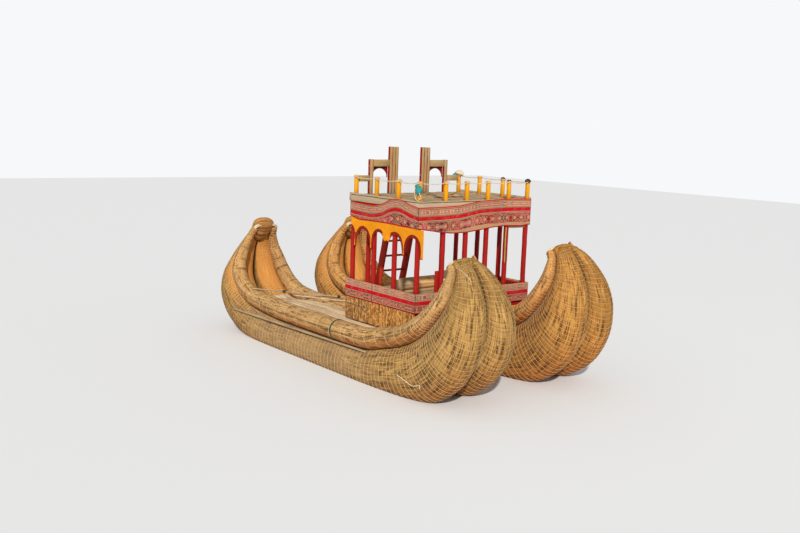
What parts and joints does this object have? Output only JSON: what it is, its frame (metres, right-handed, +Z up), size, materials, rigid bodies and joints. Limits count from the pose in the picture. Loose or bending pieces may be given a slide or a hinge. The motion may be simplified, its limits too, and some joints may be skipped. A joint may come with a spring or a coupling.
{
  "type": "twin-hulled reed boat",
  "caption": "Twin-hulled reed boat with curled reed tips and a two-storey wooden house: open cabin with parapet below, railed deck with stepped gate above.",
  "frame": {"origin": "midway along the boat on its centre plane, level with the undersides of the reed bundles", "axes": "+X towards the bow, +Y to port, +Z up"},
  "size_m": [8.9298, 4.4578, 4.8949],
  "materials": {
    "band_cloth": "woven cloth band, red with tan pattern rows",
    "log_wood": "rough round timber",
    "orange_paint": "plywood painted orange-yellow with red edges",
    "raw_wood": "weathered plain timber",
    "red_paint": "timber painted glossy dark red",
    "reed_bundle": "dry totora reed bundles, bound in rings, satin tan",
    "reed_mat": "woven reed mat, pale straw",
    "reed_roll": "smooth bound reed roll, golden tan",
    "reed_thatch": "loose upright reed stalks, brown straw",
    "yellow_paint": "timber painted yellow"
  },
  "bodies": {
    "root": {"arch_panel": "orange_paint", "bench_board": "raw_wood", "bench_roll": "reed_roll", "bow_brace": "raw_wood", "cross_logs": "log_wood", "deck_pole": "raw_wood", "floor_mat": "reed_mat", "gate_arches": "red_paint", "gate_low_beams": "raw_wood", "gate_mid_beams": "raw_wood", "gate_step_posts": "raw_wood", "gate_tall_posts": "raw_wood", "house_posts": "red_paint", "ladder_rungs": "red_paint", "ladder_stringers": "red_paint", "log_blocks": "log_wood", "lower_band_bow": "band_cloth", "lower_band_port": "band_cloth", "lower_band_starboard": "band_cloth", "parapet_rails": "red_paint", "port_bow_cap": "reed_bundle", "port_bundle_left": "reed_bundle", "port_bundle_right": "reed_bundle", "port_deck_mat": "reed_mat", "port_roll_left": "reed_roll", "port_roll_right": "reed_roll", "port_stern_cap": "reed_bundle", "rail_posts": "yellow_paint", "shelf_board": "raw_wood", "shelf_upright": "red_paint", "side_board": "orange_paint", "side_pole": "log_wood", "sill_frame": "red_paint", "starboard_bow_cap": "reed_bundle", "starboard_bundle_left": "reed_bundle", "starboard_bundle_right": "reed_bundle", "starboard_deck_mat": "reed_mat", "starboard_roll_left": "reed_roll", "starboard_roll_right": "reed_roll", "starboard_stern_cap": "reed_bundle", "stern_landing": "reed_mat", "stern_posts": "red_paint", "thatch_bow": "reed_thatch", "thatch_port": "reed_thatch", "thatch_starboard": "reed_thatch", "upper_band_bow": "band_cloth", "upper_band_port": "band_cloth", "upper_band_starboard": "band_cloth", "upper_deck": "reed_mat", "upper_deck_frame": "red_paint", "upper_joists": "red_paint"}
  },
  "joints": []
}
